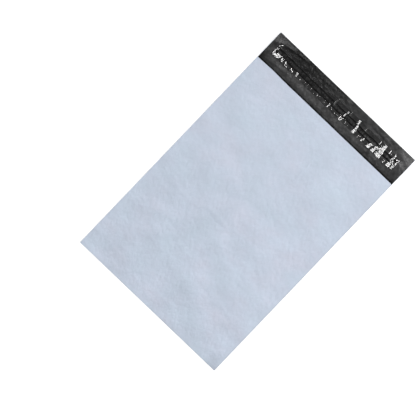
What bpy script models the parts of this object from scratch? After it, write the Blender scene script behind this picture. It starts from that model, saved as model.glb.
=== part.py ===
"""Poly mailer bag, empty and lying flat, with its closing flap open.

One web of film is folded at the bottom and cut by a hot knife along both sides, which melts its two
layers together there. They make a pocket that is open at the mouth. The back layer runs on past the
mouth as the flap. The flap's inner face carries a band of hot-melt adhesive under a release liner,
which is crinkled where it isn't held down.

The frame has +X across the bag, +Y from the bottom fold to the flap and +Z up. The origin is on the
surface that the bag lies on, under the middle of its outline.
"""

import math

import bmesh
import bpy

# Driving dimensions, in metres
BAG_WIDTH = 0.250  # over both side welds
POCKET_LENGTH = 0.346  # from the bottom fold to the mouth
FLAP_LENGTH = 0.045  # from the mouth to the flap's free edge
FILM_THICKNESS = 0.00007

# Side welds: the bead of melted film that the hot knife leaves
BEAD_WIDTH = 0.0008
BEAD_RISE = 0.00012  # above the front layer
BEAD_OVERRUN = 0.0003  # past the bottom fold and past the mouth
BEAD_SIDES = 12

# Pocket: how its front layer stands off the back layer, which lies flat
LAYER_GAP = 0.0001  # air in the bottom fold and beside the welds
CROWN_HEIGHT = 0.0013  # mid-pocket, over that gap
MOUTH_HEIGHT = 0.0009  # at the mouth, over that gap
SIDE_EASE = 0.040  # distance from a weld over which the pocket fills out
FOLD_EASE = 0.065  # the same from the bottom fold
MOUTH_EASE = 0.080  # distance over which the crown falls to the mouth's height
WAVE_HEIGHT = 0.00025
WAVE_ACROSS = 0.090
WAVE_ALONG = 0.120

# Flap: it rises a little towards its free edge, and humps up beside both welds
FLAP_CURL = 0.0008
FLAP_WAVE = 0.0003
FLAP_WAVE_ACROSS = 0.110
HUMP_HEIGHT = 0.0011  # at the weld, halfway between the mouth and the free edge
HUMP_REACH = 0.045  # distance from a weld over which it falls away

# Closure: adhesive band and release liner, laid a little askew along one centre line
CLOSURE_SETBACK = 0.0214  # from the flap's free edge to the centre line, mid-liner
CLOSURE_SLANT = 0.0024  # how much further in the line is at the right end than at the left
CLOSURE_SHIFT = -0.002  # of the liner's middle from the bag's
ADHESIVE_LENGTH = 0.221
ADHESIVE_WIDTH = 0.0080
ADHESIVE_THICKNESS = 0.0001
LINER_LENGTH = 0.225
LINER_WIDTH = 0.0198
LINER_THICKNESS = 0.00004
LINER_DROP = 0.0015  # distance beside the adhesive over which the liner comes down to the flap
SEAT_GAP = 0.0002  # clearance between film, adhesive and liner

# Crinkles of the liner, from its left end. Place and width are shares of the liner's length, height
# is a share of the tallest crinkle's, and lean is a share of the liner's width. Lean moves the end
# that is nearer the flap's free edge to the right.
CRINKLE_HEIGHT = 0.0018  # of the tallest one
CRINKLES = (
    # place, width, height, lean, zone
    (0.020, 0.0170, 0.50, 0.09, "right across"),
    (0.041, 0.0190, 0.50, 0.05, "pocket side"),
    (0.073, 0.0220, 0.50, -0.04, "pocket side"),
    (0.111, 0.0220, 0.50, -0.06, "pocket side"),
    (0.156, 0.0220, 0.45, -0.06, "pocket side"),
    (0.200, 0.0200, 0.50, -0.05, "pocket side"),
    (0.460, 0.0120, 0.35, 0.03, "pocket side"),
    (0.482, 0.0080, 0.20, 0.00, "free side"),
    (0.568, 0.0260, 0.55, 0.12, "right across"),
    (0.674, 0.0250, 0.65, -0.10, "right across"),
    (0.717, 0.0080, 0.20, 0.00, "pocket side"),
    (0.728, 0.0060, 0.20, 0.02, "free side"),
    (0.748, 0.0180, 0.45, 0.10, "pocket side"),
    (0.802, 0.0300, 0.55, 0.10, "pocket side"),
    (0.840, 0.0220, 0.55, 0.08, "pocket side"),
    (0.880, 0.0400, 1.00, 0.02, "right across"),
    (0.921, 0.0120, 0.40, 0.00, "free side"),
    (0.935, 0.0080, 0.30, 0.00, "pocket side"),
    (0.960, 0.0300, 0.60, 0.06, "right across"),
    (0.986, 0.0160, 0.55, 0.04, "right across"),
)

# Facets
WEB_COLUMNS = 26
FLAP_ROWS = 6
BACK_ROWS = 8
FOLD_ROWS = 6
FRONT_ROWS = 20
CLOSURE_STEP = 0.010  # longest facet along the adhesive and the liner
SHARP_ANGLE = math.radians(35)

# Worked out from the values above
OVERALL_LENGTH = BEAD_OVERRUN + POCKET_LENGTH + FLAP_LENGTH
FOLD_Y = -OVERALL_LENGTH / 2 + BEAD_OVERRUN
MOUTH_Y = FOLD_Y + POCKET_LENGTH
FLAP_EDGE_Y = MOUTH_Y + FLAP_LENGTH
WELD_X = (BAG_WIDTH - BEAD_WIDTH) / 2
BACK_Z = FILM_THICKNESS / 2  # the middle of the back layer's film
FRONT_Z = BACK_Z + FILM_THICKNESS + LAYER_GAP  # the same for the front layer, beside a weld
FOLD_RADIUS = (FRONT_Z - BACK_Z) / 2
ADHESIVE_BASE = FILM_THICKNESS + SEAT_GAP  # above the underside of the flap
LINER_BASE = FILM_THICKNESS + SEAT_GAP
LINER_OVER_ADHESIVE = ADHESIVE_BASE + ADHESIVE_THICKNESS + SEAT_GAP


def clear_scene():
    """Removes what the scene holds."""
    for obj in list(bpy.data.objects):
        bpy.data.objects.remove(obj, do_unlink=True)


def new_collection(name):
    """A collection in the scene."""
    collection = bpy.data.collections.new(name)
    bpy.context.scene.collection.children.link(collection)
    return collection


def plastic(name, color, roughness, alpha=1.0):
    """A non-metal material from a linear colour."""
    material = bpy.data.materials.new(name)
    material.use_nodes = True
    shader = material.node_tree.nodes["Principled BSDF"]
    shader.inputs["Base Color"].default_value = (*color, 1.0)
    shader.inputs["Roughness"].default_value = roughness
    shader.inputs["Metallic"].default_value = 0.0
    shader.inputs["Alpha"].default_value = alpha
    material.diffuse_color = (*color, alpha)
    return material


def evenly(start, end, steps):
    """The ends of this many equal steps, with the start itself left out."""
    return [start + (end - start) * step / steps for step in range(1, steps + 1)]


def eased(share):
    """A share from 0 to 1 turned into a smooth rise that is level at both ends."""
    share = min(max(share, 0.0), 1.0)
    return share * share * (3.0 - 2.0 * share)


def flap_lift(x, y):
    """How far the flap's underside is above the surface that the bag lies on."""
    out = max((y - MOUTH_Y) / FLAP_LENGTH, 0.0)
    wave = FLAP_WAVE * math.sin(math.tau * x / FLAP_WAVE_ACROSS)
    hump = HUMP_HEIGHT * eased(1.0 - (WELD_X - abs(x)) / HUMP_REACH)
    return out * out * (FLAP_CURL + wave) + hump * math.sin(math.pi * out)


def pocket_lift(x, y):
    """How far the front layer stands above its height beside a weld."""
    fullness = eased((WELD_X - abs(x)) / SIDE_EASE) * eased((y - FOLD_Y) / FOLD_EASE)
    near_mouth = eased(1.0 - (MOUTH_Y - y) / MOUTH_EASE)
    crown = CROWN_HEIGHT + (MOUTH_HEIGHT - CROWN_HEIGHT) * near_mouth
    wave = WAVE_HEIGHT * math.sin(math.tau * x / WAVE_ACROSS) * math.cos(math.tau * y / WAVE_ALONG)
    return fullness * (crown + wave)


def add_sheet(name, rows, thickness, side, materials, collection):
    """A film whose surface passes through rows of points.

    The thickness goes to both sides where side is 0, and to the face that a viewer on +Z sees, on a
    sheet with its rows towards +Y, where side is 1. A second material is for the other face.
    """
    columns = len(rows[0])
    bm = bmesh.new()
    bmesh.ops.create_grid(bm, x_segments=columns - 1, y_segments=len(rows) - 1, size=1.0)
    for vert in bm.verts:
        column = round((vert.co.x + 1.0) / 2 * (columns - 1))
        row = round((vert.co.y + 1.0) / 2 * (len(rows) - 1))
        vert.co = rows[row][column]
    bmesh.ops.triangulate(bm, faces=bm.faces)
    mesh = bpy.data.meshes.new(name)
    bm.to_mesh(mesh)
    bm.free()
    for material in materials:
        mesh.materials.append(material)
    mesh.shade_smooth()
    mesh.set_sharp_from_angle(angle=SHARP_ANGLE)
    sheet = bpy.data.objects.new(name, mesh)
    collection.objects.link(sheet)
    solidify = sheet.modifiers.new("film_thickness", "SOLIDIFY")
    solidify.thickness = thickness
    solidify.offset = side
    solidify.use_even_offset = True
    solidify.material_offset = len(materials) - 1
    return sheet


def web_rows():
    """Rows of points along the web, from the flap's free edge round the bottom fold to the mouth."""
    columns = [-WELD_X] + evenly(-WELD_X, WELD_X, WEB_COLUMNS)
    fold_start_y = FOLD_Y + FILM_THICKNESS / 2 + FOLD_RADIUS
    back = [FLAP_EDGE_Y] + evenly(FLAP_EDGE_Y, MOUTH_Y, FLAP_ROWS)
    back += evenly(MOUTH_Y, fold_start_y, BACK_ROWS)
    rows = [[(x, y, BACK_Z + flap_lift(x, y)) for x in columns] for y in back]
    for angle in evenly(0.0, math.pi, FOLD_ROWS):
        y = fold_start_y - FOLD_RADIUS * math.sin(angle)
        z = BACK_Z + FOLD_RADIUS * (1.0 - math.cos(angle))
        rows.append([(x, y, z) for x in columns])
    for y in evenly(fold_start_y, MOUTH_Y, FRONT_ROWS):
        rows.append([(x, y, FRONT_Z + pocket_lift(x, y)) for x in columns])
    return rows


def add_weld_bead(side, collection):
    """The melted bead along one side of the pocket, with its underside inside the back layer."""
    top = FRONT_Z + FILM_THICKNESS / 2 + BEAD_RISE
    height = top - BACK_Z
    length = POCKET_LENGTH + 2 * BEAD_OVERRUN
    bpy.ops.mesh.primitive_cylinder_add(
        vertices=BEAD_SIDES,
        radius=0.5,
        depth=1.0,
        location=(side * WELD_X, FOLD_Y + POCKET_LENGTH / 2, BACK_Z + height / 2),
        rotation=(math.pi / 2, 0.0, 0.0),
    )
    bead = bpy.context.object
    bead.name = "weld_bead_left" if side < 0 else "weld_bead_right"
    bead.scale = (BEAD_WIDTH, height, length)
    bpy.ops.object.transform_apply(location=False, rotation=True, scale=True)
    bead.hide_render = True
    bead.display_type = "WIRE"
    for owner in list(bead.users_collection):
        owner.objects.unlink(bead)
    collection.objects.link(bead)
    return bead


def add_bag_film(parts, cutters):
    """The folded web, closed along both sides by its weld beads."""
    outer = plastic("film_outer_pale_grey", (0.56, 0.63, 0.75), 0.45)
    inner = plastic("film_inner_charcoal", (0.030, 0.030, 0.031), 0.38)
    film = add_sheet("bag_film", web_rows(), FILM_THICKNESS, 0.0, (outer, inner), parts)
    for side in (-1, 1):
        bead = add_weld_bead(side, cutters)
        bead.data.materials.append(outer)
        weld = film.modifiers.new(bead.name, "BOOLEAN")
        weld.operation = "UNION"
        weld.solver = "EXACT"
        weld.object = bead
    return film


def closure_point(x, out, base):
    """A point over the flap, this far from the closure's centre line and above the flap's underside."""
    askew = CLOSURE_SLANT * (x - CLOSURE_SHIFT) / LINER_LENGTH
    y = FLAP_EDGE_Y - CLOSURE_SETBACK - askew + out
    return (x, y, flap_lift(x, y) + base)


def add_adhesive_strip(parts):
    """The band of hot-melt adhesive on the flap's inner face."""
    start = CLOSURE_SHIFT - ADHESIVE_LENGTH / 2
    end = CLOSURE_SHIFT + ADHESIVE_LENGTH / 2
    columns = [start] + evenly(start, end, math.ceil(ADHESIVE_LENGTH / CLOSURE_STEP))
    outs = (-ADHESIVE_WIDTH / 2, 0.0, ADHESIVE_WIDTH / 2)
    rows = [[closure_point(x, out, ADHESIVE_BASE) for x in columns] for out in outs]
    hot_melt = plastic("hot_melt_adhesive", (0.012, 0.012, 0.012), 0.30)
    return add_sheet("adhesive_strip", rows, ADHESIVE_THICKNESS, 1.0, (hot_melt,), parts)


def liner_columns():
    """Columns of the liner as (distance from its left end, share of the crinkle height, lean, zone).

    A crinkle has a column at its crest and at each foot, and plain columns fill the long stretches.
    """
    marks = [(0.0, 0.0, 0.0, None)]
    for place, width, height, lean, zone in CRINKLES:
        crest = place * LINER_LENGTH
        foot = width * LINER_LENGTH / 2
        marks.append((crest - foot, 0.0, lean, zone))
        marks.append((crest, height, lean, zone))
        marks.append((crest + foot, 0.0, lean, zone))
    marks.append((LINER_LENGTH, 0.0, 0.0, None))
    columns = marks[:1]
    for mark in marks[1:]:
        start = columns[-1][0]
        steps = math.ceil((mark[0] - start) / CLOSURE_STEP)
        columns += [(along, 0.0, 0.0, None) for along in evenly(start, mark[0], steps)[:-1]]
        columns.append(mark)
    return columns


def crinkle_share(out, zone):
    """How much of its own height a crinkle has at this distance from the centre line."""
    held = ADHESIVE_WIDTH / 2
    free = (abs(out) - held) / (LINER_WIDTH / 2 - held)
    if zone == "right across":
        return 1.0 if out < 0 else 0.8
    if zone == "pocket side" and out < 0 or zone == "free side" and out > 0:
        return max(free, 0.0)
    return 0.0


def liner_base(out):
    """Height of the uncrinkled liner above the flap's underside: it lies over the adhesive."""
    beside = (abs(out) - ADHESIVE_WIDTH / 2) / LINER_DROP - 1.0
    return LINER_OVER_ADHESIVE + (LINER_BASE - LINER_OVER_ADHESIVE) * eased(beside)


def add_release_liner(parts):
    """The thin clear film over the adhesive, crinkled along its free edges."""
    clear = LINER_WIDTH / 2
    over = ADHESIVE_WIDTH / 2 + LINER_DROP
    down = over + LINER_DROP
    outs = (-clear, -down, -over, -ADHESIVE_WIDTH / 2, ADHESIVE_WIDTH / 2, over, down, clear)
    start = CLOSURE_SHIFT - LINER_LENGTH / 2
    rows = []
    for out in outs:
        row = []
        for along, height, lean, zone in liner_columns():
            x = start + along + lean * out
            base = liner_base(out) + CRINKLE_HEIGHT * height * crinkle_share(out, zone)
            row.append(closure_point(x, out, base))
        rows.append(row)
    film = plastic("release_film_clear", (0.060, 0.060, 0.062), 0.12, alpha=0.5)
    return add_sheet("release_liner", rows, LINER_THICKNESS, 1.0, (film,), parts)


def main():
    """Builds the bag's pieces under one empty."""
    clear_scene()
    parts = new_collection("poly_mailer_bag")
    cutters = new_collection("weld_tools")
    cutters.hide_render = True
    bag = bpy.data.objects.new("bag_origin", None)
    parts.objects.link(bag)
    for piece in (add_bag_film(parts, cutters), add_adhesive_strip(parts), add_release_liner(parts)):
        piece.parent = bag


main()
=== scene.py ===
"""Looks of a poly mailer bag that lies flat and empty, with its closing flap open."""

import math

import bmesh
import bpy
import numpy as np
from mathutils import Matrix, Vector, noise
from mathutils.bvhtree import BVHTree


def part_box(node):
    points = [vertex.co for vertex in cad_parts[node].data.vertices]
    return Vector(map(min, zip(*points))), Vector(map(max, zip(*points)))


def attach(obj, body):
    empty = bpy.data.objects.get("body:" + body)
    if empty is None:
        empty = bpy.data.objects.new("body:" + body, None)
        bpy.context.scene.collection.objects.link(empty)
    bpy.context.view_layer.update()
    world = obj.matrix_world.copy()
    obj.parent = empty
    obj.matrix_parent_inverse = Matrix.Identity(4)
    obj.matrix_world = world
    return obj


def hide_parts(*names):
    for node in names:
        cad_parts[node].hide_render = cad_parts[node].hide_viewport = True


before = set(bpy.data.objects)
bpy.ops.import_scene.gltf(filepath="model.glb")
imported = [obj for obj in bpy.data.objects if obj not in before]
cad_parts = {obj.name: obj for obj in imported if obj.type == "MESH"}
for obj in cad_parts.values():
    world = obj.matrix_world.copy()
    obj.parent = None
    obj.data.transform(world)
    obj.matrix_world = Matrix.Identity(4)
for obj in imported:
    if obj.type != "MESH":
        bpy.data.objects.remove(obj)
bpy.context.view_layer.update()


# Camera
# It looks straight down at the bag, through a long lens that keeps the bag's edges parallel. It is
# rolled, so that the flap points to the upper right of the picture.
PICTURE_WIDTH = 0.5595  # of the surface that the bag lies on, in metres
LENS = 100.0
SENSOR = 36.0
BAG_TURN = math.radians(43.7)
VIEW_CENTRE = (-0.0323, -0.0431)

camera = bpy.data.objects.new("camera", bpy.data.cameras.new("camera"))
camera.data.lens = LENS
camera.data.sensor_width = SENSOR
camera.location = (*VIEW_CENTRE, PICTURE_WIDTH * LENS / SENSOR)
camera.rotation_euler = (0.0, 0.0, BAG_TURN)
bpy.context.scene.collection.objects.link(camera)
bpy.context.scene.camera = camera


# Bag film
# One web of co-extruded polyethylene, pale blue-grey outside and charcoal inside. It is folded at
# the bottom, and its back layer runs on past the mouth as the closing flap.
FILM = 0.00007
FLAP_LENGTH = 0.045
WELD_BEAD = 0.0008
WELD_OVERRUN = 0.0003
LAYER_GAP = 0.0001

film_low, film_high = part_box("bag_film")
weld_x = film_high.x - WELD_BEAD / 2
fold_y = film_low.y + WELD_OVERRUN
flap_edge_y = film_high.y
mouth_y = flap_edge_y - FLAP_LENGTH
back_z = FILM / 2
front_z = back_z + FILM + LAYER_GAP

# How the front layer stands over the air in the pocket
CROWN_HEIGHT = 0.0013
MOUTH_HEIGHT = 0.0009
SIDE_EASE = 0.040
FOLD_EASE = 0.065
MOUTH_EASE = 0.080
SOFT_WAVES = (
    # height, wavelength across, wavelength along, phase
    (0.00025, 0.090, 0.120, 0.0),
    (0.00012, 0.210, 0.061, 1.3),
    (0.00010, 0.047, 0.170, 2.1),
)
ROLL_HEIGHT = 0.00022
ROLL_SIZE = 0.030
PUCKER_HEIGHT = 0.00016
PUCKER_SPACING = 0.0075
PUCKER_REACH = 0.010
PUCKER_START = 0.003
PUCKER_OFF_FOLD = 0.010
PUCKER_DRIFT = 2.0
PUCKER_DRIFT_SIZE = 0.05
MOUTH_TRIM = 0.00035
MOUTH_BULGE = 0.0006
MOUTH_BULGE_AT = 0.027
MOUTH_BULGE_SPREAD = 0.016

# How the flap lies: it curls up to its free edge, humps beside both welds and is crinkled all over
FLAP_CURL = 0.0008
FLAP_WAVE = 0.0003
FLAP_WAVE_ACROSS = 0.110
HUMP_HEIGHT = 0.0011
HUMP_REACH = 0.045
FLAP_LOOSE_FROM = 0.25
FLAP_CRINKLE_HEIGHT = 0.00005
FLAP_CRINKLE_SIZE = (0.0035, 0.0140)
FLAP_ROLL_HEIGHT = 0.00006
FLAP_ROLL_SIZE = (0.022, 0.014)
LIFT_OFF = 0.00024
LIFT_OFF_REACH = 0.0016

# Soft ridges that handling has left, in millimetres from the bag's left edge and from the flap's
# free edge: from where to where, and how high and how wide
MILLIMETRE = 0.001
RIDGE_FADE = 1.0 / 3.0
FLAP_RIDGES = (
    ((1, 17), (14, 8), 0.50, 4.8),
    ((9, 10), (36, 4.6), 0.55, 4.8),
    ((-10, 24), (16, 22), -0.40, 9.0),
    ((4, 36), (68, 35), 0.15, 5.0),
    ((30, 6), (62, 3), 0.20, 2.5),
    ((2, 41), (44, 35), 0.30, 3.2),
    ((60, 38), (120, 40), 0.15, 3.0),
    ((70, 7), (140, 5), 0.12, 3.0),
    ((150, 39), (225, 37), 0.20, 3.0),
    ((160, 5), (228, 8), 0.15, 3.0),
    ((228, 20), (280, 24), 0.50, 22.0),
    ((226, 4.6), (262, 18.2), 0.28, 5.0),
    ((228, 15.6), (262, 27), 0.20, 3.2),
    ((236, 16), (258, 46), 0.38, 2.8),
    ((112, 4), (112.5, 22), 0.07, 1.0),
    ((115, 4), (115.5, 22), 0.07, 1.0),
    ((119, 6), (118.6, 24), 0.10, 1.0),
)
POCKET_RIDGES = (
    ((88, 238), (138, 241), 0.50, 3.6),
    ((18, 236), (58, 252), 0.25, 4.0),
    ((186, 244), (216, 262), 0.22, 4.0),
    ((12, 284), (98, 280), 0.25, 3.5),
    ((104, 128), (106, 84), 0.30, 2.4),
    ((106, 86), (126, 72), 0.28, 2.8),
    ((124, 72), (150, 92), 0.28, 2.8),
    ((150, 88), (151, 138), 0.28, 2.4),
    ((34, 358), (142, 361), 0.14, 2.0),
    ((150, 96), (232, 60), 0.16, 6.0),
    ((4, 100), (46, 92), 0.20, 6.0),
    ((130, 310), (240, 330), 0.20, 7.0),
    ((40, 300), (120, 330), 0.20, 7.0),
    ((60, 180), (150, 205), 0.12, 6.0),
    ((228, 392), (250, 372), 0.20, 5.0),
)

WEB_COLUMNS = 250
FLAP_ROWS = 48
BACK_ROWS = 8
FOLD_ROWS = 6
FRONT_ROWS = 112
SHARP_ANGLE = math.radians(50)

# The outer face: what handling has left is strongest at the fold. Painted shading darkens it towards
# the left and towards the mouth, and painted shade darkens one corner
PALE_COLORS = ((0.538, 0.620, 0.724), (0.558, 0.623, 0.735), (0.580, 0.619, 0.730))
PALE_TINT_SIZE = 0.070
PALE_MOTTLE = 0.085
PALE_MOTTLE_SIZE = 0.030
PALE_ROUGHNESS = (0.44, 0.56)
PALE_SMEAR_SIZE = 0.018
PALE_SKIN_HEIGHT = 0.000012
PALE_SKIN_SIZE = 0.0011
PALE_WRINKLE_HEIGHT = 0.00095
PALE_WRINKLE_SIZE = 0.0065
HANDLED_AT_MOUTH = 0.6
# Painted shading: levels from the left to the right edge, and from the fold to the mouth, starting
# this far above the fold
SHADE_LEFT_TO_RIGHT = (-0.022, 0.018)
SHADE_FOLD_TO_MOUTH = (1.020, 0.982)
SHADE_FROM_FOLD = 0.030
# Painted shade in the right-hand corner at the fold: how much darker, and how far in from the side
# and up from the fold it fades
CORNER_PAINTED_SHADE = 0.140
CORNER_SHADE_ACROSS = (0.022, 0.010)
CORNER_SHADE_ALONG = (0.010, 0.026)

# The inner face: painted sheen makes it lighter along the outer band at both ends, most at the
# right, and along the inner band by the mouth, and painted shadow blackens the nook beside the
# mouth. Each step is a level and the two places between which it is reached
CHARCOAL_COLORS = ((0.0060, 0.0060, 0.0062), (0.0220, 0.0220, 0.0224))
CHARCOAL_CLOUD_SIZE = 0.014
CHARCOAL_ROUGHNESS = (0.27, 0.36)
CHARCOAL_SMEAR_SIZE = 0.010
CHARCOAL_SPECULAR = 0.4
CHARCOAL_SKIN_HEIGHT = 0.000015
CHARCOAL_SKIN_SIZE = 0.0009
CHARCOAL_WRINKLE_HEIGHT = 0.00085
CHARCOAL_WRINKLE_SIZE = 0.0080
CHARCOAL_WRINKLE_SHARE = 0.9
# Painted sheen on the charcoal's tone, along the flap's outer band and along its inner band by the
# mouth
EDGE_SHEEN = 2.4
EDGE_SHEEN_STEPS = (
    (0.1, film_low.x, film_low.x + 0.032),
    (1.8, -0.030, 0.025),
    (4.6, 0.100, 0.117),
)
MOUTH_SHEEN = 1.3
MOUTH_SHEEN_STEPS = ((2.8, film_low.x, film_low.x + 0.016),)
MOUTH_TO_EDGE = (0.030, 0.006)
# Painted shadow where the front layer's lip shades the flap: black at the mouth, back to full tone
# 12 mm past it
NOOK_SHADOW = 0.0
NOOK_SHADOW_STEPS = (
    (0.70, mouth_y + 0.0016, mouth_y + 0.0028),
    (1.0, mouth_y + 0.003, mouth_y + 0.012),
)


def eased(share):
    """A share from 0 to 1 turned into a smooth rise that is level at both ends."""
    share = np.clip(share, 0.0, 1.0)
    return share * share * (3.0 - 2.0 * share)


def rolling(x, y, size, seed):
    """Smooth noise from about -1 to 1 at each point, with hills about this far apart."""
    size_x, size_y = size if isinstance(size, tuple) else (size, size)
    flat = zip(x.ravel() / size_x, y.ravel() / size_y)
    values = [noise.noise(Vector((a, b, seed))) for a, b in flat]
    return np.array(values).reshape(x.shape) * 2.0


def in_millimetres(x, y):
    """How far points are from the bag's left edge and from the flap's free edge."""
    return (x + film_high.x) / MILLIMETRE, (flap_edge_y - y) / MILLIMETRE


def ridge_lift(x, y, ridges):
    """Height of soft ridges, each fading at both of its ends."""
    u, v = in_millimetres(x, y)
    lift = np.zeros_like(x)
    for start, end, height, width in ridges:
        run_u, run_v = end[0] - start[0], end[1] - start[1]
        length = math.hypot(run_u, run_v)
        along = ((u - start[0]) * run_u + (v - start[1]) * run_v) / length
        beside = ((u - start[0]) * run_v - (v - start[1]) * run_u) / length
        fade = RIDGE_FADE * length
        ends = eased(along / fade) * eased((length - along) / fade)
        lift += height * MILLIMETRE * ends * eased(1.0 - np.abs(beside) / width)
    return lift


def flap_lift(x, y):
    """How far the flap's underside is above the surface that the bag lies on."""
    out = np.clip((y - mouth_y) / FLAP_LENGTH, 0.0, None)
    wave = FLAP_WAVE * np.sin(math.tau * x / FLAP_WAVE_ACROSS)
    hump = HUMP_HEIGHT * eased(1.0 - (weld_x - np.abs(x)) / HUMP_REACH)
    crinkle = FLAP_CRINKLE_HEIGHT * (1.0 + rolling(x, y, FLAP_CRINKLE_SIZE, seed=3.0))
    roll = FLAP_ROLL_HEIGHT * (1.0 + rolling(x, y, FLAP_ROLL_SIZE, seed=5.0))
    loose = crinkle + roll + ridge_lift(x, y, FLAP_RIDGES)
    rise = out * out * (FLAP_CURL + wave) + hump * np.sin(math.pi * out)
    off = LIFT_OFF * eased((y - mouth_y + MOUTH_TRIM) / LIFT_OFF_REACH)
    return rise + off + eased(out / FLAP_LOOSE_FROM) * loose


def pocket_lift(x, y):
    """How far the front layer stands above its height beside a weld."""
    from_weld = weld_x - np.abs(x)
    fullness = eased(from_weld / SIDE_EASE) * eased((y - fold_y) / FOLD_EASE)
    near_mouth = eased(1.0 - (mouth_y - y) / MOUTH_EASE)
    crown = CROWN_HEIGHT + (MOUTH_HEIGHT - CROWN_HEIGHT) * near_mouth
    for height, across, along, phase in SOFT_WAVES:
        wave = np.sin(math.tau * x / across + phase) * np.cos(math.tau * y / along + phase)
        crown = crown + height * wave
    crown = crown + ROLL_HEIGHT * rolling(x, y, ROLL_SIZE, seed=7.0)
    drift = PUCKER_DRIFT * rolling(x, y, PUCKER_DRIFT_SIZE, seed=11.0)
    ripple = 0.5 + 0.5 * np.sin(math.tau * y / PUCKER_SPACING + drift)
    near_weld = eased(from_weld / PUCKER_START) * np.exp(-from_weld / PUCKER_REACH)
    pucker = PUCKER_HEIGHT * near_weld * ripple * eased((y - fold_y) / PUCKER_OFF_FOLD)
    return fullness * (crown + ridge_lift(x, y, POCKET_RIDGES)) + pucker


def web_points():
    """Points of the web's middle, in rows from the flap's free edge round the fold to the mouth."""
    turn = (front_z - back_z) / 2
    turn_y = fold_y + FILM / 2 + turn
    across = np.linspace(-weld_x, weld_x, WEB_COLUMNS + 1)
    flap_y = np.linspace(flap_edge_y, mouth_y, FLAP_ROWS + 1)
    back_y = np.linspace(mouth_y, turn_y, BACK_ROWS + 1)[1:]
    front_y = np.linspace(turn_y, mouth_y, FRONT_ROWS + 1)[1:]
    angle = np.linspace(0.0, math.pi, FOLD_ROWS + 1)[1:]
    x, y = np.meshgrid(across, np.concatenate([flap_y, back_y]))
    back = np.stack([x, y, back_z + flap_lift(x, y)], axis=2)
    x, y = np.meshgrid(across, turn_y - turn * np.sin(angle))
    z = np.repeat(back_z + turn * (1.0 - np.cos(angle)), WEB_COLUMNS + 1)
    fold = np.stack([x, y, z.reshape(x.shape)], axis=2)
    x, y = np.meshgrid(across, front_y)
    off_bulge = (x + film_high.x - MOUTH_BULGE_AT) / MOUTH_BULGE_SPREAD
    at_mouth = eased(1.0 - (mouth_y - y) / FOLD_EASE)
    cut_y = y + at_mouth * (MOUTH_BULGE * np.exp(-off_bulge * off_bulge) - MOUTH_TRIM)
    front = np.stack([x, cut_y, front_z + pocket_lift(x, y)], axis=2)
    return np.concatenate([back, fold, front])


def sheet_through(name, points, materials=()):
    """A smooth open surface through rows of points. Its UV map has the shares of its two sides."""
    rows, columns = points.shape[:2]
    bm = bmesh.new()
    bmesh.ops.create_grid(bm, x_segments=columns - 1, y_segments=rows - 1, size=1.0)
    shares = bm.loops.layers.uv.new("shares")
    for face in bm.faces:
        for loop in face.loops:
            loop[shares].uv = (loop.vert.co.xy + Vector((1.0, 1.0))) / 2
    for vert in bm.verts:
        column = round((vert.co.x + 1.0) / 2 * (columns - 1))
        row = round((vert.co.y + 1.0) / 2 * (rows - 1))
        vert.co = points[row, column]
    bmesh.ops.triangulate(bm, faces=bm.faces)
    mesh = bpy.data.meshes.new(name)
    bm.to_mesh(mesh)
    bm.free()
    mesh.shade_smooth()
    for material in materials:
        mesh.materials.append(material)
    sheet = bpy.data.objects.new(name, mesh)
    bpy.context.scene.collection.objects.link(sheet)
    return sheet


def applied(obj):
    """The piece with its modifiers' result as its own plain mesh, also where it was a curve."""
    graph = bpy.context.evaluated_depsgraph_get()
    mesh = bpy.data.meshes.new_from_object(obj.evaluated_get(graph))
    mesh.set_sharp_from_angle(angle=SHARP_ANGLE)
    obj.modifiers.clear()
    if obj.type == "MESH":
        obj.data = mesh
        return obj
    name, curve = obj.name, obj.data
    bpy.data.objects.remove(obj)
    bpy.data.curves.remove(curve)
    plain = bpy.data.objects.new(name, mesh)
    bpy.context.scene.collection.objects.link(plain)
    return plain


def set_inputs(tree, node, inputs):
    """Gives each named input its value, or joins it to a socket."""
    for key, value in inputs.items():
        if isinstance(value, bpy.types.NodeSocket):
            tree.links.new(value, node.inputs[key])
        else:
            node.inputs[key].default_value = value


def add_node(tree, kind, inputs=None, **settings):
    """A new node with its settings and its inputs."""
    node = tree.nodes.new(kind)
    for key, value in settings.items():
        setattr(node, key, value)
    set_inputs(tree, node, inputs or {})
    return node


def worked(tree, operation, first, second):
    """Two numbers, given as values or as sockets, worked into one."""
    return add_node(tree, "ShaderNodeMath", {0: first, 1: second}, operation=operation).outputs[0]


def ranged(tree, value, low, high, from_low=0.3, from_high=0.7):
    """A value taken from one range to another. Without a first range, it is that of a noise."""
    source = {"Value": value, "From Min": from_low, "From Max": from_high}
    source |= {"To Min": low, "To Max": high}
    return add_node(tree, "ShaderNodeMapRange", source).outputs["Result"]


def stepped(tree, value, start, steps):
    """A level that starts at one value and changes to another between each pair of places."""
    level = start
    for reached, place_from, place_to in steps:
        level = ranged(tree, value, level, reached, place_from, place_to)
    return level


def tints(tree, factor, colors):
    """A colour ramp over evenly spaced linear colours."""
    ramp = add_node(tree, "ShaderNodeValToRGB", {"Fac": factor})
    elements = ramp.color_ramp.elements
    while len(elements) < len(colors):
        elements.new(0.5)
    for index, color in enumerate(colors):
        elements[index].position = index / (len(colors) - 1)
        elements[index].color = (*color, 1.0)
    return ramp.outputs["Color"]


def scaled(tree, color, level):
    """A colour made brighter or darker by a level that varies over the surface."""
    source = {0: color, "Scale": level}
    return add_node(tree, "ShaderNodeVectorMath", source, operation="SCALE").outputs["Vector"]


def grain(tree, coordinates, size, stretch=(1.0, 1.0, 1.0), detail=2.0, roughness=0.5):
    """Noise over the coordinates, with features about this size in metres."""
    mapping = add_node(tree, "ShaderNodeMapping", {"Vector": coordinates, "Scale": stretch})
    source = {"Vector": mapping.outputs["Vector"], "Scale": 1.0 / size}
    source |= {"Detail": detail, "Roughness": roughness}
    return add_node(tree, "ShaderNodeTexNoise", source).outputs["Fac"]


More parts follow.
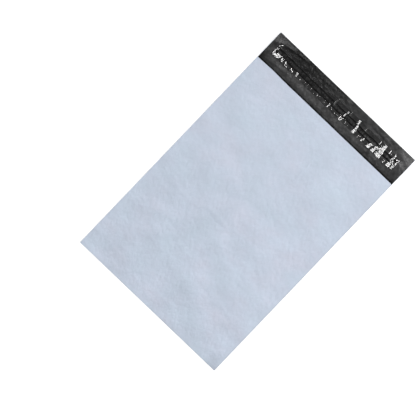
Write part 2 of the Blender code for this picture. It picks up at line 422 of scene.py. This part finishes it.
def bumped(tree, height, distance, strength=1.0, normal=None):
    """A bump of this height in metres, over another where one is given."""
    source = {"Height": height, "Distance": distance, "Strength": strength}
    if normal is not None:
        source["Normal"] = normal
    return add_node(tree, "ShaderNodeBump", source).outputs["Normal"]


def new_shader(name):
    """A new material, its tree, its Principled shader and its object coordinates."""
    material = bpy.data.materials.new(name)
    material.use_nodes = True
    tree = material.node_tree
    shader = tree.nodes["Principled BSDF"]
    coordinates = add_node(tree, "ShaderNodeTexCoord").outputs["Object"]
    return material, tree, shader, coordinates


def pale_film():
    """The outer face: matt pale blue-grey, unevenly tinted, finely wrinkled by handling, with
    painted shading and a painted shade in one corner.
    """
    material, tree, shader, at = new_shader("film_pale_outer")
    place = add_node(tree, "ShaderNodeSeparateXYZ", {"Vector": at}).outputs
    tint = grain(tree, at, PALE_TINT_SIZE, stretch=(1.0, 1.3, 1.0), detail=3.0, roughness=0.6)
    tinted = tints(tree, ranged(tree, tint, 0.0, 1.0), PALE_COLORS)
    handled = ranged(tree, place["Y"], 1.0, HANDLED_AT_MOUTH, fold_y, mouth_y)
    mottle = grain(tree, at, PALE_MOTTLE_SIZE, stretch=(0.6, 1.0, 1.0), detail=4.0, roughness=0.65)
    mottle = ranged(tree, mottle, -PALE_MOTTLE, PALE_MOTTLE)
    # Painted shading: darker towards the left and towards the mouth
    across = ranged(tree, place["X"], *SHADE_LEFT_TO_RIGHT, film_low.x, film_high.x)
    along = ranged(tree, place["Y"], *SHADE_FOLD_TO_MOUTH, fold_y + SHADE_FROM_FOLD, mouth_y)
    # Painted shade darkens the right-hand corner at the fold
    corner_start, corner_end = (film_high.x - inwards for inwards in CORNER_SHADE_ACROSS)
    corner_shade = ranged(tree, place["X"], 0.0, -CORNER_PAINTED_SHADE, corner_start, corner_end)
    corner_start, corner_end = (fold_y + upwards for upwards in CORNER_SHADE_ALONG)
    corner_shade = ranged(tree, place["Y"], corner_shade, 0.0, corner_start, corner_end)
    level = worked(tree, "MULTIPLY", mottle, handled)
    for change in (along, across, corner_shade):
        level = worked(tree, "ADD", level, change)
    smear = grain(tree, at, PALE_SMEAR_SIZE, detail=3.0)
    skin = grain(tree, at, PALE_SKIN_SIZE, detail=3.0)
    skin = bumped(tree, skin, PALE_SKIN_HEIGHT)
    wrinkle = grain(tree, at, PALE_WRINKLE_SIZE, stretch=(1.4, 1.0, 1.0), detail=4.0, roughness=0.55)
    finish = {
        "Base Color": scaled(tree, tinted, level),
        "Roughness": ranged(tree, smear, *PALE_ROUGHNESS),
        "Normal": bumped(tree, wrinkle, PALE_WRINKLE_HEIGHT, handled, skin),
    }
    set_inputs(tree, shader, finish)
    return material


def charcoal_film():
    """The inner face: satin charcoal, lightened in places by painted sheen, and black in the nook
    beside the mouth with painted shadow.
    """
    material, tree, shader, at = new_shader("film_charcoal_inner")
    place = add_node(tree, "ShaderNodeSeparateXYZ", {"Vector": at}).outputs
    cloud = grain(tree, at, CHARCOAL_CLOUD_SIZE, detail=4.0, roughness=0.6)
    clouded = tints(tree, ranged(tree, cloud, 0.0, 1.0), CHARCOAL_COLORS)
    # Painted sheen: lighter towards the ends of the outer band and along the inner band
    sheen_by_edge = stepped(tree, place["X"], EDGE_SHEEN, EDGE_SHEEN_STEPS)
    sheen_by_mouth = stepped(tree, place["X"], MOUTH_SHEEN, MOUTH_SHEEN_STEPS)
    mouth_side, edge_side = (flap_edge_y - inwards for inwards in MOUTH_TO_EDGE)
    painted_sheen = ranged(tree, place["Y"], sheen_by_mouth, sheen_by_edge, mouth_side, edge_side)
    # Painted shadow blackens the nook beside the mouth
    nook_shadow = stepped(tree, place["Y"], NOOK_SHADOW, NOOK_SHADOW_STEPS)
    smear = grain(tree, at, CHARCOAL_SMEAR_SIZE, stretch=(0.5, 1.0, 1.0), detail=3.0)
    skin = grain(tree, at, CHARCOAL_SKIN_SIZE, detail=3.0)
    skin = bumped(tree, skin, CHARCOAL_SKIN_HEIGHT)
    wrinkle = grain(tree, at, CHARCOAL_WRINKLE_SIZE, stretch=(1.8, 1.0, 1.0), detail=3.0)
    wrinkled = bumped(tree, wrinkle, CHARCOAL_WRINKLE_HEIGHT, CHARCOAL_WRINKLE_SHARE, skin)
    finish = {
        "Base Color": scaled(tree, clouded, worked(tree, "MULTIPLY", painted_sheen, nook_shadow)),
        "Roughness": ranged(tree, smear, *CHARCOAL_ROUGHNESS),
        "Specular IOR Level": CHARCOAL_SPECULAR,
        "Normal": wrinkled,
    }
    set_inputs(tree, shader, finish)
    return material


film = sheet_through("bag_film_web", web_points(), (pale_film(), charcoal_film()))
thickness = film.modifiers.new("film_thickness", "SOLIDIFY")
thickness.thickness = FILM
thickness.offset = 0.0
thickness.use_even_offset = True
thickness.material_offset = 1
film = applied(film)
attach(film, "root")
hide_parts("bag_film")


# Side welds
# The hot knife that cuts the web across also melts its layers together, and leaves a thin, slightly
# lumpy bead along both side edges. Past the mouth it only rounds the single layer of the flap.
BEAD_RADIUS = 0.00026
FLAP_BEAD_SHARE = 0.55
BEAD_RIPPLE = 0.35
BEAD_RIPPLE_SIZE = 0.0016
BEAD_POINTS = 120
BEAD_STEP = 0.0012
BEAD_SIDES = 8
BEAD_SEED = 4.0
BEAD_COLORS = ((0.400, 0.450, 0.540), (0.560, 0.620, 0.720))
BEAD_ROUGHNESS = (0.30, 0.42)
BEAD_LUMP_SIZE = 0.0020


def weld_paths():
    """A curve with the two side edges, from the bottom fold to the flap's free edge."""
    curve = bpy.data.curves.new("side_weld_beads", "CURVE")
    curve.dimensions = "3D"
    for side in (-1.0, 1.0):
        y = np.linspace(fold_y + BEAD_RADIUS / 2, flap_edge_y - BEAD_RADIUS / 2, BEAD_POINTS)
        x = np.full_like(y, side * weld_x)
        share = np.where(y < mouth_y, 1.0, FLAP_BEAD_SHARE)
        z = np.where(y < mouth_y, (back_z + front_z) / 2, back_z + flap_lift(x, y))
        z = np.maximum(z, BEAD_RADIUS * (1.0 + BEAD_RIPPLE) * share)
        spline = curve.splines.new("POLY")
        spline.points.add(len(y) - 1)
        for index, point in enumerate(spline.points):
            point.co = (x[index], y[index], z[index], 1.0)
            point.radius = share[index]
    beads = bpy.data.objects.new("side_weld_beads", curve)
    bpy.context.scene.collection.objects.link(beads)
    return beads


def geometry_tree(name, sockets):
    """A Geometry Nodes tree with its named inputs, and the nodes at both its ends."""
    tree = bpy.data.node_groups.new(name, "GeometryNodeTree")
    tree.interface.new_socket("Geometry", in_out="INPUT", socket_type="NodeSocketGeometry")
    tree.interface.new_socket("Geometry", in_out="OUTPUT", socket_type="NodeSocketGeometry")
    for label, kind in sockets:
        tree.interface.new_socket(label, in_out="INPUT", socket_type=kind)
    return tree, add_node(tree, "NodeGroupInput"), add_node(tree, "NodeGroupOutput")


def finish_tree(tree, geometry, start, end):
    """Ends a tree: what it made as real geometry, in its material."""
    real = add_node(tree, "GeometryNodeRealizeInstances", {"Geometry": geometry})
    source = {"Geometry": real.outputs["Geometry"], "Material": start.outputs["Material"]}
    painted = add_node(tree, "GeometryNodeSetMaterial", source)
    tree.links.new(painted.outputs["Geometry"], end.inputs["Geometry"])
    return tree


def use_tree(obj, tree, values):
    """Puts the tree on the object, with its inputs set by their names."""
    modifier = obj.modifiers.new(tree.name, "NODES")
    modifier.node_group = tree
    for socket in tree.interface.items_tree:
        if socket.in_out == "INPUT" and socket.name in values:
            modifier[socket.identifier] = values[socket.name]


def bead_tree():
    """A tube along a path, whose radius swells and shrinks like melted film."""
    sizes = ("Radius", "Step", "Ripple", "Ripple Size", "Seed")
    sockets = [(label, "NodeSocketFloat") for label in sizes]
    sockets += [("Sides", "NodeSocketInt"), ("Material", "NodeSocketMaterial")]
    tree, start, end = geometry_tree("melted_bead", sockets)
    given = start.outputs
    source = {"Curve": given["Geometry"], "Length": given["Step"]}
    path = add_node(tree, "GeometryNodeResampleCurve", source, mode="LENGTH")
    place = add_node(tree, "GeometryNodeInputPosition").outputs["Position"]
    fineness = worked(tree, "DIVIDE", 1.0, given["Ripple Size"])
    source = {"Vector": place, "W": given["Seed"], "Scale": fineness}
    lumps = add_node(tree, "ShaderNodeTexNoise", source, noise_dimensions="4D").outputs["Fac"]
    swell = ranged(tree, lumps, worked(tree, "SUBTRACT", 1.0, given["Ripple"]), 1.0)
    share = add_node(tree, "GeometryNodeInputRadius").outputs["Radius"]
    radius = worked(tree, "MULTIPLY", share, given["Radius"])
    source = {"Resolution": given["Sides"], "Radius": 1.0}
    ring = add_node(tree, "GeometryNodeCurvePrimitiveCircle", source)
    source = {
        "Curve": path.outputs["Curve"],
        "Profile Curve": ring.outputs["Curve"],
        "Scale": worked(tree, "MULTIPLY", radius, swell),
        "Fill Caps": True,
    }
    tube = add_node(tree, "GeometryNodeCurveToMesh", source)
    return finish_tree(tree, tube.outputs["Mesh"], start, end)


def melted_film():
    """The bead: the pale film melted through, a little darker and glossier."""
    material, tree, shader, at = new_shader("film_melted_bead")
    lump = grain(tree, at, BEAD_LUMP_SIZE)
    finish = {
        "Base Color": tints(tree, ranged(tree, lump, 0.0, 1.0), BEAD_COLORS),
        "Roughness": ranged(tree, lump, *BEAD_ROUGHNESS),
    }
    set_inputs(tree, shader, finish)
    return material


beads = weld_paths()
bead_sizes = {
    "Radius": BEAD_RADIUS,
    "Step": BEAD_STEP,
    "Ripple": BEAD_RIPPLE,
    "Ripple Size": BEAD_RIPPLE_SIZE,
    "Seed": BEAD_SEED,
    "Sides": BEAD_SIDES,
    "Material": melted_film(),
}
use_tree(beads, bead_tree(), bead_sizes)
beads = applied(beads)
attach(beads, "root")
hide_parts("bag_film")


# Adhesive strip
# A band of hot-melt adhesive, laid by a nozzle along the flap's dark inner face a little askew. Its
# two edges are thicker than its middle, where it was pressed flat.
CLOSURE_SETBACK = 0.0214
CLOSURE_SLANT = 0.0024
CLOSURE_SHIFT = -0.002
LINER_LENGTH = 0.225
ADHESIVE_LENGTH = 0.221
ADHESIVE_WIDTH = 0.0080
ADHESIVE_THICKNESS = 0.00005
ADHESIVE_EDGE = 0.00008
ADHESIVE_EDGE_WIDTH = 0.0014
ADHESIVE_SKIN = 0.00003
ADHESIVE_LUMPS = 0.2
ADHESIVE_LUMP_SIZE = 0.004
ADHESIVE_RAGGED = 0.00035
ADHESIVE_RAGGED_SIZE = 0.006
ADHESIVE_COLUMNS = 148
ADHESIVE_EDGE_ROWS = 6
ADHESIVE_MIDDLE_ROWS = 5
LAID_CLEARANCE = 0.00001
ABOVE_THE_BAG = 0.1

GLUE_COLORS = ((0.0220, 0.0220, 0.0223), (0.0460, 0.0460, 0.0466))
GLUE_STREAK_SIZE = 0.0012
# Painted sheen: how much lighter the adhesive is from left to right, and between which places
GLUE_SHEEN = (1.1, 2.6)
GLUE_SHEEN_BETWEEN = (-0.075, 0.090)
GLUE_SMUDGE = (0.40, 1.65)
GLUE_SMUDGE_SIZE = 0.0022
GLUE_SMUDGE_NOISE = (0.42, 0.60)
# The adhesive's thick edges are blacker than its middle: partly its own colour, partly painted shade
GLUE_LEVELS_ACROSS = (0.02, 0.02, 0.02, 0.45, 1.0, 0.45, 0.02, 0.02, 0.02)
GLUE_ROUGHNESS = (0.30, 0.45)
GLUE_SPECULAR = 0.03


def closure_line(x):
    """How far up the bag the closure's centre line is at this distance across it."""
    askew = CLOSURE_SLANT * (x - CLOSURE_SHIFT) / LINER_LENGTH
    return flap_edge_y - CLOSURE_SETBACK - askew


def laid_tree():
    """Sets a piece down on the film under it, each point at its own modelled height above it."""
    sockets = [("Film", "NodeSocketObject"), ("Clearance", "NodeSocketFloat")]
    sockets += [("Material", "NodeSocketMaterial")]
    tree, start, end = geometry_tree("laid_on_film", sockets)
    given = start.outputs
    film_under = add_node(tree, "GeometryNodeObjectInfo", {"Object": given["Film"]})
    place = add_node(tree, "GeometryNodeInputPosition").outputs["Position"]
    parts = add_node(tree, "ShaderNodeSeparateXYZ", {"Vector": place}).outputs
    source = {"X": parts["X"], "Y": parts["Y"], "Z": ABOVE_THE_BAG}
    above = add_node(tree, "ShaderNodeCombineXYZ", source)
    source = {
        "Target Geometry": film_under.outputs["Geometry"],
        "Source Position": above.outputs["Vector"],
        "Ray Direction": (0.0, 0.0, -1.0),
        "Ray Length": 1.0,
    }
    down = add_node(tree, "GeometryNodeRaycast", source)
    surface = add_node(tree, "ShaderNodeSeparateXYZ", {"Vector": down.outputs["Hit Position"]})
    lift = worked(tree, "ADD", surface.outputs["Z"], given["Clearance"])
    offset = add_node(tree, "ShaderNodeCombineXYZ", {"Z": lift})
    source = {"Geometry": given["Geometry"], "Offset": offset.outputs["Vector"]}
    laid = add_node(tree, "GeometryNodeSetPosition", source)
    return finish_tree(tree, laid.outputs["Geometry"], start, end)


def adhesive_height(beside):
    """Height of the adhesive at this distance from its centre line."""
    from_edge = ADHESIVE_WIDTH / 2 - np.abs(beside)
    rim = np.clip(1.0 - np.abs(from_edge / ADHESIVE_EDGE_WIDTH - 0.5) * 2.0, 0.0, 1.0)
    body = eased(from_edge / (ADHESIVE_EDGE_WIDTH / 2))
    return ADHESIVE_THICKNESS * body + (ADHESIVE_EDGE - ADHESIVE_THICKNESS) * eased(rim)


def adhesive_shape():
    """The adhesive's upper face as heights over the flap, in rows from its pocket side outwards."""
    half = ADHESIVE_WIDTH / 2
    rim = np.linspace(0.0, ADHESIVE_EDGE_WIDTH, ADHESIVE_EDGE_ROWS)
    middle = np.linspace(-half / 2, half / 2, ADHESIVE_MIDDLE_ROWS)
    outs = np.concatenate([rim - half, middle, half - rim[::-1]])
    x = np.linspace(-ADHESIVE_LENGTH / 2, ADHESIVE_LENGTH / 2, ADHESIVE_COLUMNS) + CLOSURE_SHIFT
    x, out = np.meshgrid(x, outs)
    ragged = ADHESIVE_RAGGED * rolling(x, out, ADHESIVE_RAGGED_SIZE, seed=21.0)
    lumps = 1.0 + ADHESIVE_LUMPS * rolling(x, out, ADHESIVE_LUMP_SIZE, seed=23.0)
    y = closure_line(x) + out + ragged * np.abs(out) / half
    return np.stack([x, y, np.maximum(adhesive_height(out) * lumps, 0.0)], axis=2)


def hot_melt():
    """Near-black adhesive, streaked and smudged, lightened towards the right by painted sheen, and
    blacker at its thick edges, partly its own colour and partly painted shade.
    """
    material, tree, shader, at = new_shader("hot_melt_black")
    streak = grain(tree, at, GLUE_STREAK_SIZE, stretch=(0.04, 1.0, 1.0))
    streaked = tints(tree, ranged(tree, streak, 0.0, 1.0), GLUE_COLORS)
    place = add_node(tree, "ShaderNodeSeparateXYZ", {"Vector": at}).outputs
    # Painted sheen makes the adhesive lighter towards the right
    sheen_to_right = ranged(tree, place["X"], *GLUE_SHEEN, *GLUE_SHEEN_BETWEEN)
    smudge = grain(tree, at, GLUE_SMUDGE_SIZE, stretch=(1.0, 0.6, 1.0))
    smudge = ranged(tree, smudge, *GLUE_SMUDGE, *GLUE_SMUDGE_NOISE)
    shares = add_node(tree, "ShaderNodeUVMap", uv_map="shares").outputs["UV"]
    across = add_node(tree, "ShaderNodeSeparateXYZ", {"Vector": shares}).outputs["Y"]
    # Blacker at the thick edges, partly its own colour and partly painted shade
    levels = tints(tree, across, [(level, level, level) for level in GLUE_LEVELS_ACROSS])
    source = {0: streaked, 1: levels}
    edged = add_node(tree, "ShaderNodeVectorMath", source, operation="MULTIPLY").outputs["Vector"]
    finish = {
        "Base Color": scaled(tree, edged, worked(tree, "MULTIPLY", sheen_to_right, smudge)),
        "Roughness": ranged(tree, streak, *GLUE_ROUGHNESS),
        "Specular IOR Level": GLUE_SPECULAR,
    }
    set_inputs(tree, shader, finish)
    return material


adhesive = sheet_through("adhesive_band", adhesive_shape())
laid = {"Film": film, "Clearance": LAID_CLEARANCE, "Material": hot_melt()}
use_tree(adhesive, laid_tree(), laid)
body = adhesive.modifiers.new("adhesive_body", "SOLIDIFY")
body.thickness = ADHESIVE_SKIN
body.offset = -1.0
adhesive = applied(adhesive)
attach(adhesive, "root")
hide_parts("adhesive_strip")


# Release liner
# A thin, clear, siliconed film that keeps the adhesive from sticking until the bag is closed. It is
# held along the adhesive only, so its free edges are crinkled, and here and there it has lifted.
LINER_WIDTH = 0.0198
LINER = 0.00004
LINER_OVER = 0.00012
LINER_DROP = 0.0034
LINER_COLUMNS = 600
LINER_ROWS = 80
FREE_CRINKLE = 0.00005
FREE_CRINKLE_SIZE = (0.0022, 0.0090)
FREE_CRINKLE_LEAN = 0.3
FINE_CRINKLE = 0.000006
FINE_CRINKLE_SIZE = 0.0012

CLEAR_COLORS = ((0.006, 0.006, 0.0062), (0.020, 0.020, 0.0202))
CLEAR_HAZE_SIZE = 0.006
CLEAR_ROUGHNESS = (0.08, 0.11)
CLEAR_GRAIN_HEIGHT = 0.00001
CLEAR_GRAIN_SIZE = 0.0010
CLEAR_GRAIN_SHARE = 0.3
CLEAR_IOR = 2.2
CLEAR_SPECULAR = 1.0
CLEAR_ALPHA = 0.18

# Where the liner has lifted off the flap, in millimetres as the ridges are. Each place is a plane
# that rises towards the pocket, from a line above to a line below it. It fades over these widths
# at its sides and its two ends, and these shares of it are left on its outline and at its hinge.
LIFTED_SLOPE = 0.115
LIFTED_SIDE = 0.45
LIFTED_FOOT = 0.25
LEFT_ON_OUTLINE = 0.8
LEFT_AT_HINGE = 0.5
LIFTED_CRINKLE = 0.000022
LIFTED_CRINKLE_SIZE = (0.0008, 0.0030)
SMOOTH_UP_TO_SHARE = 0.65
LIFTED = (
    # line above: v, from u, to u; line below: v, from u, to u; share of the full slope
    ((10.3, 14.6, 16.6), (13.0, 12.4, 14.3), 1.0),
    ((13.0, 12.4, 14.1), (16.4, 11.2, 12.5), 0.9),
    ((18.4, 10.8, 15.8), (19.7, 10.8, 15.6), 0.9),
    ((19.8, 10.8, 12.0), (29.3, 10.8, 13.2), 1.0),
    ((22.8, 16.8, 25.0), (25.6, 15.8, 23.8), 0.9),
    ((25.6, 12.4, 23.6), (29.4, 12.6, 20.6), 1.0),
    ((23.2, 25.0, 26.8), (29.3, 27.0, 29.5), 1.0),
    ((23.2, 29.2, 30.5), (27.2, 28.4, 29.4), 0.8),
    ((23.8, 32.0, 33.5), (28.0, 33.0, 35.6), 1.0),
    ((27.8, 33.6, 37.6), (29.5, 33.8, 38.6), 1.0),
    ((24.6, 43.2, 44.8), (28.4, 44.2, 46.4), 0.8),
    ((27.4, 46.8, 48.4), (29.6, 45.0, 48.9), 0.8),
    ((23.4, 53.1, 54.7), (29.7, 55.0, 57.4), 1.0),
    ((24.0, 114.1, 115.2), (31.6, 113.0, 114.8), 1.0),
    ((11.0, 118.6, 119.4), (22.0, 118.4, 119.3), 0.62),
    ((25.6, 135.8, 137.5), (31.8, 135.0, 137.6), 1.0),
    ((25.6, 140.2, 141.8), (31.6, 137.6, 139.7), 1.0),
    ((14.0, 140.2, 141.4), (19.0, 139.5, 141.2), 0.8),
    ((19.0, 139.2, 140.7), (23.6, 138.0, 140.0), 0.8),
    ((12.0, 144.2, 144.9), (17.0, 144.4, 145.3), 0.6),
    ((12.0, 158.6, 161.3), (19.2, 159.3, 162.3), 1.0),
    ((19.4, 161.4, 163.5), (26.2, 160.9, 164.5), 1.0),
    ((26.4, 160.8, 164.6), (32.3, 160.4, 165.3), 1.0),
    ((27.6, 171.6, 172.7), (32.2, 171.3, 172.8), 0.8),
    ((11.0, 173.8, 174.7), (18.0, 173.1, 174.4), 0.62),
    ((25.0, 179.9, 181.4), (28.8, 178.2, 180.4), 0.9),
    ((28.8, 178.0, 180.3), (32.3, 177.0, 179.5), 1.0),
    ((24.2, 190.6, 192.6), (27.6, 189.4, 193.5), 0.9),
    ((27.6, 189.3, 193.5), (32.3, 186.7, 193.5), 1.0),
    ((24.0, 193.9, 195.3), (27.2, 193.5, 194.4), 0.8),
    ((14.0, 199.6, 200.7), (18.7, 199.1, 200.8), 0.9),
    ((22.0, 199.0, 201.6), (27.2, 197.3, 201.8), 0.9),
    ((27.4, 197.2, 201.8), (32.4, 196.1, 201.5), 1.0),
    ((16.0, 205.2, 206.8), (25.6, 201.2, 203.6), 0.9),
    ((12.4, 206.9, 210.3), (26.9, 203.9, 212.5), 0.82),
    ((27.4, 203.5, 212.9), (32.5, 204.3, 212.3), 0.95),
    ((12.0, 217.1, 218.8), (18.2, 217.4, 219.0), 1.0),
    ((12.0, 220.5, 221.3), (17.0, 220.5, 221.4), 0.7),
    ((28.0, 218.7, 220.2), (32.5, 218.7, 220.9), 0.9),
    ((12.0, 225.5, 227.7), (19.2, 226.0, 228.3), 1.0),
    ((19.3, 226.0, 227.7), (23.8, 223.5, 225.6), 0.9),
    ((15.4, 232.0, 233.4), (18.7, 230.2, 232.0), 1.0),
    ((20.8, 228.8, 230.7), (26.0, 225.4, 229.6), 0.9),
    ((26.2, 224.9, 229.9), (32.5, 224.3, 230.1), 1.0),
    ((24.0, 229.8, 235.2), (26.0, 229.8, 235.2), 0.9),
    ((18.4, 233.6, 235.1), (25.0, 232.6, 235.4), 1.0),
    ((26.2, 232.2, 235.3), (32.5, 231.8, 233.7), 1.0),
)
STROKES_BETWEEN = ((64.0, 111.0), (120.0, 133.0), (146.0, 157.0), (167.0, 176.0))
STROKES_SPACING = 6.0
STROKES_SEED = 12
STROKE_ABOVE = (23.5, 25.0)
STROKE_LENGTH = (4.0, 6.0)
STROKE_STRAY = (-1.5, 1.5)
STROKE_LEAN = (-4.0, -1.5)
STROKE_WIDTH = (0.4, 0.8)
STROKE_SHARE = (0.20, 0.34)


def faint_strokes():
    """Slight crinkles that barely catch the light, as lifted places between the listed ones."""
    chance = np.random.default_rng(STROKES_SEED)
    strokes = []
    for start, end in STROKES_BETWEEN:
        for u in np.arange(start, end, STROKES_SPACING):
            above = chance.uniform(*STROKE_ABOVE)
            below = above + chance.uniform(*STROKE_LENGTH)
            foot = u + chance.uniform(*STROKE_STRAY)
            head = foot + chance.uniform(*STROKE_LEAN)
            width = chance.uniform(*STROKE_WIDTH)
            share = chance.uniform(*STROKE_SHARE)
            strokes.append(((above, head, head + width), (below, foot, foot + width), share))
    return tuple(strokes)


def film_under(x, y):
    """Height of the film's upper face under each point, over where the flap would lie flat."""
    tree = BVHTree.FromObject(film, bpy.context.evaluated_depsgraph_get())
    heights = []
    for a, b in zip(x.ravel(), y.ravel()):
        hit = tree.ray_cast(Vector((a, b, ABOVE_THE_BAG)), Vector((0.0, 0.0, -1.0)))[0]
        heights.append(hit.z)
    return np.array(heights).reshape(x.shape) - back_z - FILM / 2


def with_lifted(x, y, z, fine):
    """The liner's heights over the film with the lifted places in it, the steeper ones crinkled."""
    under = film_under(x, y)
    u, v = in_millimetres(x, y)
    crinkle = fine + LIFTED_CRINKLE * rolling(x, y, LIFTED_CRINKLE_SIZE, seed=35.0)
    for line_above, line_below, share in faint_strokes() + LIFTED:
        above, from_above, to_above = line_above
        below, from_below, to_below = line_below
        down = (v - above) / (below - above)
        left = from_above + (from_below - from_above) * down
        right = to_above + (to_below - to_above) * down
        inside = np.clip((u - left) / LIFTED_SIDE + LEFT_ON_OUTLINE, 0.0, 1.0)
        inside = inside * np.clip((right - u) / LIFTED_SIDE + LEFT_ON_OUTLINE, 0.0, 1.0)
        inside = inside * np.clip((below - v) / LIFTED_FOOT + LEFT_ON_OUTLINE, 0.0, 1.0)
        inside = inside * np.clip((v - above) / LIFTED_FOOT + LEFT_AT_HINGE, 0.0, 1.0)
        hinge_y = np.full_like(y, flap_edge_y - above * MILLIMETRE)
        rise = share * LIFTED_SLOPE * (v - above) * MILLIMETRE
        plane = LINER_OVER + rise + flap_lift(x, hinge_y) - under
        if share > SMOOTH_UP_TO_SHARE:
            plane = plane + crinkle
        z = z + inside * (plane - z)
    return z


def liner_shape():
    """The liner's surface as heights over the flap, in rows from its pocket side outwards."""
    half = LINER_WIDTH / 2
    outs = np.linspace(-half, half, LINER_ROWS)
    x = np.linspace(-LINER_LENGTH / 2, LINER_LENGTH / 2, LINER_COLUMNS) + CLOSURE_SHIFT
    x, out = np.meshgrid(x, outs)
    y = closure_line(x) + out
    off_adhesive = (np.abs(out) - ADHESIVE_WIDTH / 2) / LINER_DROP
    leaning = x + FREE_CRINKLE_LEAN * out
    crinkle = FREE_CRINKLE * (1.0 + rolling(leaning, out, FREE_CRINKLE_SIZE, seed=31.0))
    z = LINER_OVER * eased(1.0 - off_adhesive) + crinkle * eased(off_adhesive)
    fine = FINE_CRINKLE * (1.0 + rolling(x, out, FINE_CRINKLE_SIZE, seed=33.0))
    return np.stack([x, y, with_lifted(x, y, z + fine, fine)], axis=2)


def clear_film():
    """Clear glossy film, smoky over the dark flap, with a fine grain in its gloss."""
    material, tree, shader, at = new_shader("release_film_clear")
    haze = grain(tree, at, CLEAR_HAZE_SIZE, stretch=(1.0, 0.4, 1.0), detail=3.0)
    fine = grain(tree, at, CLEAR_GRAIN_SIZE, stretch=(1.0, 0.3, 1.0))
    finish = {
        "Base Color": tints(tree, ranged(tree, haze, 0.0, 1.0), CLEAR_COLORS),
        "Roughness": ranged(tree, haze, *CLEAR_ROUGHNESS),
        "IOR": CLEAR_IOR,
        "Specular IOR Level": CLEAR_SPECULAR,
        "Alpha": CLEAR_ALPHA,
        "Normal": bumped(tree, fine, CLEAR_GRAIN_HEIGHT, CLEAR_GRAIN_SHARE),
    }
    set_inputs(tree, shader, finish)
    return material


liner = sheet_through("release_liner_film", liner_shape())
laid = {"Film": film, "Clearance": LAID_CLEARANCE, "Material": clear_film()}
use_tree(liner, laid_tree(), laid)
skin = liner.modifiers.new("liner_thickness", "SOLIDIFY")
skin.thickness = LINER
skin.offset = 1.0
liner = applied(liner)
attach(liner, "root")
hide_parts("release_liner")


# Floor
# The white surface that the bag lies on, just clear of its film. It isn't part of the bag.
FLOOR_SIZE = 8.0
FLOOR_DROP = 0.0002
FLOOR_GLOW = 0.35
FLOOR_COLOR = (0.86, 0.86, 0.86, 1.0)
FLOOR_ROUGHNESS = 0.9
WHITE = (1.0, 1.0, 1.0, 1.0)


def white_floor():
    """Matt white that reads as pure white to the camera, and still takes the bag's shadow."""
    material, tree, shader = new_shader("floor_white")[:3]
    rays = add_node(tree, "ShaderNodeLightPath").outputs
    seen = worked(tree, "MAXIMUM", rays["Is Camera Ray"], rays["Is Glossy Ray"])
    seen = worked(tree, "MAXIMUM", seen, rays["Is Transmission Ray"])
    finish = {
        "Base Color": FLOOR_COLOR,
        "Roughness": FLOOR_ROUGHNESS,
        "Emission Color": WHITE,
        "Emission Strength": worked(tree, "MULTIPLY", seen, FLOOR_GLOW),
    }
    set_inputs(tree, shader, finish)
    return material


bpy.ops.mesh.primitive_plane_add(size=FLOOR_SIZE, location=(0.0, 0.0, -FLOOR_DROP))
floor = bpy.context.object
floor.name = "floor"
floor.data.materials.append(white_floor())


# Lights
# A light tent, bright near the horizon and dark overhead, where the camera looks in. A long narrow
# softbox beyond the flap is what the lifted liner mirrors, and a large one and a weak one fill in.
TENT_HORIZON = 0.85
TENT_TOP = 0.05
TENT_HEIGHTS = (0.35, 0.90)
SOFTBOXES = (
    # name, place, the point that it faces, width and depth, power in watts
    ("glint_softbox", (0.2, 1.15, 2.50), (0.2, 0.17, 0.0), (2.4, 0.36), 24.0),
    ("key_softbox", (3.90, 4.12, 3.68), (0.0, 0.0, 0.0), (2.4, 2.4), 250.0),
    ("left_softbox", (-1.30, 0.20, 0.90), (0.0, 0.0, 0.0), (1.0, 1.0), 3.0),
)


def light_tent():
    """The world: bright at the horizon and dim straight overhead, and white to the camera."""
    world = bpy.data.worlds.new("light_tent")
    world.use_nodes = True
    tree = world.node_tree
    toward = add_node(tree, "ShaderNodeTexCoord").outputs["Generated"]
    height = add_node(tree, "ShaderNodeSeparateXYZ", {"Vector": toward}).outputs["Z"]
    bright = ranged(tree, height, TENT_HORIZON, TENT_TOP, *TENT_HEIGHTS)
    seen = add_node(tree, "ShaderNodeLightPath").outputs["Is Camera Ray"]
    shown = worked(tree, "MAXIMUM", bright, seen)
    set_inputs(tree, tree.nodes["Background"], {"Color": WHITE, "Strength": shown})
    bpy.context.scene.world = world


def softbox(name, place, aim, size, power):
    """A soft lamp at a place, turned to a point, its width along X where it faces down."""
    light = bpy.data.lights.new(name, "AREA")
    light.shape = "RECTANGLE"
    light.size, light.size_y = size
    light.energy = power
    lamp = bpy.data.objects.new(name, light)
    lamp.location = place
    lamp.rotation_euler = (Vector(aim) - Vector(place)).to_track_quat("-Z", "Y").to_euler()
    bpy.context.scene.collection.objects.link(lamp)


light_tent()
for lamp in SOFTBOXES:
    softbox(*lamp)

bpy.context.scene.view_settings.view_transform = "Standard"
